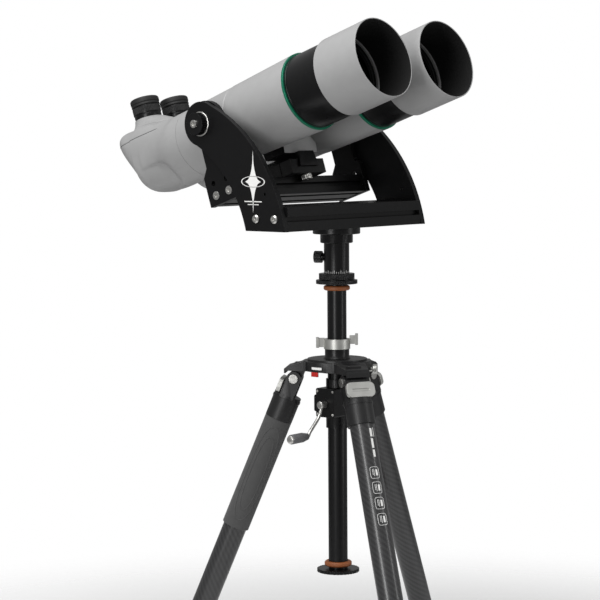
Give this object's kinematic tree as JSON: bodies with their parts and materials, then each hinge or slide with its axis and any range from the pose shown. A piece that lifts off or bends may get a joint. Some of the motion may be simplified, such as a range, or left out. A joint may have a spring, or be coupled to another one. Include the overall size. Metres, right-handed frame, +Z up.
{
  "type": "mounted binoculars",
  "caption": "Large right-angle binoculars in a tilting cradle and panning fork on a carbon tripod with a geared centre column.",
  "frame": {"origin": "on the floor under the middle of the whole object's bounding box", "axes": "+Z up, -Y the way the binoculars look, +X to the user's left-hand tube"},
  "size_m": [0.5348, 0.7446, 1.1813],
  "materials": {
    "grey_paint": "fine satin texture",
    "green_accent": "anodised green",
    "lens_glass": "coated",
    "orange_rubber": "matte",
    "bright_metal": "satin",
    "carbon_tube": "clear-coated carbon weave",
    "grey_foam": "matte",
    "black_rubber": "matte",
    "black_anodised": "satin anodised"
  },
  "bodies": {
    "tripod": {"crown": "black_anodised", "column_collar": "black_anodised", "gearbox": "black_anodised", "leg_pivot_bolts": "bright_metal"},
    "lock_ring": {"column_lock_ring": "bright_metal"},
    "crank": {"crank_arm": "bright_metal"},
    "grip": {"crank_grip": "grey_foam"},
    "pinion": {"pinion_shaft": "bright_metal"},
    "column": {"centre_column": "black_anodised", "column_rack": "bright_metal", "column_foot": "black_anodised", "column_bumpers": "orange_rubber", "azimuth_base": "black_anodised"},
    "fork": {"azimuth_hub": "black_anodised", "fork_beam": "black_anodised", "fork_arm_left": "black_anodised", "fork_arm_right": "black_anodised", "fork_screws": "bright_metal"},
    "pan_lock": {"azimuth_lock_knob": "black_anodised"},
    "cradle": {"cradle_arm_left": "black_anodised", "cradle_arm_right": "black_anodised", "cradle_beam": "black_anodised", "cradle_screws": "bright_metal", "saddle": "black_anodised"},
    "saddle_screw": {"saddle_knob": "bright_metal"},
    "binoculars": {"bridge": "grey_paint", "objective_tube_left": "grey_paint", "objective_tube_right": "grey_paint", "objective_collars": "black_anodised", "objective_lenses": "lens_glass", "accent_rings": "green_accent"},
    "leg_side": {"leg_knuckle_side": "black_anodised", "leg_upper_tube_side": "carbon_tube"},
    "catch_side": {"leg_catch_side": "bright_metal"},
    "twist_side": {"leg_twist_lock_side": "black_rubber"},
    "lower_leg_side": {"leg_lower_tube_side": "carbon_tube", "leg_foot_side": "black_rubber"},
    "leg_rear": {"leg_knuckle_rear": "black_anodised", "leg_upper_tube_rear": "carbon_tube", "leg_grip_sleeve": "grey_foam"},
    "catch_rear": {"leg_catch_rear": "bright_metal"},
    "twist_rear": {"leg_twist_lock_rear": "black_rubber"},
    "lower_leg_rear": {"leg_lower_tube_rear": "carbon_tube", "leg_foot_rear": "black_rubber"},
    "leg_front": {"leg_knuckle_front": "black_anodised", "leg_upper_tube_front": "carbon_tube"},
    "catch_front": {"leg_catch_front": "bright_metal"},
    "twist_front": {"leg_twist_lock_front": "black_rubber"},
    "lower_leg_front": {"leg_lower_tube_front": "carbon_tube", "leg_foot_front": "black_rubber"},
    "tilt_knob_left": {"tilt_knob_left": "black_anodised"},
    "tilt_knob_right": {"tilt_knob_right": "black_anodised"},
    "hood_left": {"dew_shield_left": "grey_paint"},
    "head_left": {"prism_housing_left": "grey_paint"},
    "ocular_left": {"eyepiece_left": "black_anodised"},
    "cup_left": {"eyecup_left": "black_rubber"},
    "hood_right": {"dew_shield_right": "grey_paint"},
    "head_right": {"prism_housing_right": "grey_paint"},
    "ocular_right": {"eyepiece_right": "black_anodised"},
    "cup_right": {"eyecup_right": "black_rubber"}
  },
  "joints": [
    {"name": "lock_ring_turn", "type": "hinge", "parent": "tripod", "child": "lock_ring", "pos_m": [-0.06812, -0.06667, 0.65013], "axis": [0, 0, 1], "range_deg": [0, 40]},
    {"name": "column_lift", "type": "slide", "parent": "tripod", "child": "column", "axis": [0, 0, 1], "range_m": [-0.075, 0.215]},
    {"name": "crank_turn", "type": "hinge", "parent": "tripod", "child": "crank", "pos_m": [-0.06812, -0.06667, 0.55113], "axis": [-0.9972, -0.075, 0], "range_deg": [-856.46, 299.42]},
    {"name": "pinion_turn", "type": "hinge", "parent": "tripod", "child": "pinion", "pos_m": [-0.0694, -0.04971, 0.55113], "axis": [-0.9972, -0.075, 0], "range_deg": [-717.2, 2054.1]},
    {"name": "grip_spin", "type": "hinge", "parent": "crank", "child": "grip", "pos_m": [-0.16784, -0.07416, 0.50313], "axis": [-0.9972, -0.075, 0], "continuous": true},
    {"name": "leg_side_fold", "type": "hinge", "parent": "tripod", "child": "leg_side", "pos_m": [0.00266, -0.06109, 0.59213], "axis": [-0.0785, 0.9969, 0], "range_deg": [0, 22.3]},
    {"name": "catch_side_pull", "type": "slide", "parent": "leg_side", "child": "catch_side", "axis": [0.9224, 0.0726, 0.3795], "range_m": [0, 0.005], "stiffness_N_per_m": 600, "springref_m": -0.004},
    {"name": "twist_side_turn", "type": "hinge", "parent": "leg_side", "child": "twist_side", "pos_m": [0.21828, -0.04412, 0.06477], "axis": [0.3783, 0.0298, -0.9252], "range_deg": [0, 90]},
    {"name": "leg_side_extend", "type": "slide", "parent": "leg_side", "child": "lower_leg_side", "axis": [0.3783, 0.0298, -0.9252], "range_m": [0, 0.29]},
    {"name": "leg_rear_fold", "type": "hinge", "parent": "tripod", "child": "leg_rear", "pos_m": [-0.10834, -0.00815, 0.59213], "axis": [-0.8241, -0.5664, 0], "range_deg": [0, 22.3]},
    {"name": "catch_rear_pull", "type": "slide", "parent": "leg_rear", "child": "catch_rear", "axis": [-0.524, 0.7625, 0.3795], "range_m": [0, 0.005], "stiffness_N_per_m": 600, "springref_m": -0.004},
    {"name": "twist_rear_turn", "type": "hinge", "parent": "leg_rear", "child": "twist_rear", "pos_m": [-0.23084, 0.1701, 0.06477], "axis": [-0.2149, 0.3127, -0.9252], "range_deg": [0, 90]},
    {"name": "leg_rear_extend", "type": "slide", "parent": "leg_rear", "child": "lower_leg_rear", "axis": [-0.2149, 0.3127, -0.9252], "range_m": [0, 0.29]},
    {"name": "leg_front_fold", "type": "hinge", "parent": "tripod", "child": "leg_front", "pos_m": [-0.09869, -0.13075, 0.59213], "axis": [0.9026, -0.4305, 0], "range_deg": [0, 22.3]},
    {"name": "catch_front_pull", "type": "slide", "parent": "leg_front", "child": "catch_front", "axis": [-0.3983, -0.8351, 0.3795], "range_m": [0, 0.005], "stiffness_N_per_m": 600, "springref_m": -0.004},
    {"name": "twist_front_turn", "type": "hinge", "parent": "leg_front", "child": "twist_front", "pos_m": [-0.1918, -0.32597, 0.06477], "axis": [-0.1634, -0.3425, -0.9252], "range_deg": [0, 90]},
    {"name": "leg_front_extend", "type": "slide", "parent": "leg_front", "child": "lower_leg_front", "axis": [-0.1634, -0.3425, -0.9252], "range_m": [0, 0.29]},
    {"name": "azimuth_pan", "type": "hinge", "parent": "column", "child": "fork", "pos_m": [-0.06812, -0.06667, 0.78613], "axis": [0, 0, 1], "continuous": true},
    {"name": "pan_lock_turn", "type": "hinge", "parent": "fork", "child": "pan_lock", "pos_m": [-0.0808, -0.03948, 0.79413], "axis": [-0.4226, 0.9063, 0], "range_deg": [0, 180]},
    {"name": "cradle_tilt", "type": "hinge", "parent": "fork", "child": "cradle", "pos_m": [-0.06812, 0.07264, 1.01613], "axis": [-1, 0, 0], "range_deg": [-33.4, 71.6]},
    {"name": "tilt_knob_left_turn", "type": "hinge", "parent": "cradle", "child": "tilt_knob_left", "pos_m": [0.11688, 0.07264, 1.01613], "axis": [1, 0, 0], "range_deg": [0, 180]},
    {"name": "tilt_knob_right_turn", "type": "hinge", "parent": "cradle", "child": "tilt_knob_right", "pos_m": [-0.25312, 0.07264, 1.01613], "axis": [-1, 0, 0], "range_deg": [0, 180]},
    {"name": "saddle_knob_turn", "type": "hinge", "parent": "cradle", "child": "saddle_screw", "pos_m": [-0.06812, 0.00122, 0.9345], "axis": [0, -0.3156, -0.9489], "range_deg": [0, 180]},
    {"name": "binocular_slide", "type": "slide", "parent": "cradle", "child": "binoculars", "axis": [0, -0.9489, 0.3156], "range_m": [-0.03, 0.03]},
    {"name": "hood_left_slide", "type": "slide", "parent": "binoculars", "child": "hood_left", "axis": [0, -0.9489, 0.3156], "range_m": [-0.068, 0]},
    {"name": "eye_spacing_left", "type": "hinge", "parent": "binoculars", "child": "head_left", "pos_m": [0.01188, 0.1865, 0.97826], "axis": [0, -0.9489, 0.3156], "range_deg": [-1, 4]},
    {"name": "focus_left", "type": "slide", "parent": "head_left", "child": "ocular_left", "axis": [0, 0.3156, 0.9489], "range_m": [0, 0.006]},
    {"name": "eyecup_left_pull", "type": "slide", "parent": "ocular_left", "child": "cup_left", "axis": [0, 0.3156, 0.9489], "range_m": [0, 0.008]},
    {"name": "hood_right_slide", "type": "slide", "parent": "binoculars", "child": "hood_right", "axis": [0, -0.9489, 0.3156], "range_m": [-0.068, 0]},
    {"name": "eye_spacing_right", "type": "hinge", "parent": "binoculars", "child": "head_right", "pos_m": [-0.14812, 0.1865, 0.97826], "axis": [0, 0.9489, -0.3156], "range_deg": [-1, 4]},
    {"name": "focus_right", "type": "slide", "parent": "head_right", "child": "ocular_right", "axis": [0, 0.3156, 0.9489], "range_m": [0, 0.006]},
    {"name": "eyecup_right_pull", "type": "slide", "parent": "ocular_right", "child": "cup_right", "axis": [0, 0.3156, 0.9489], "range_m": [0, 0.008]}
  ],
  "couplings": [
    {"joint": "crank_turn", "follows": "column_lift", "rad_per_m": -69.444},
    {"joint": "pinion_turn", "follows": "column_lift", "rad_per_m": 166.67}
  ]
}
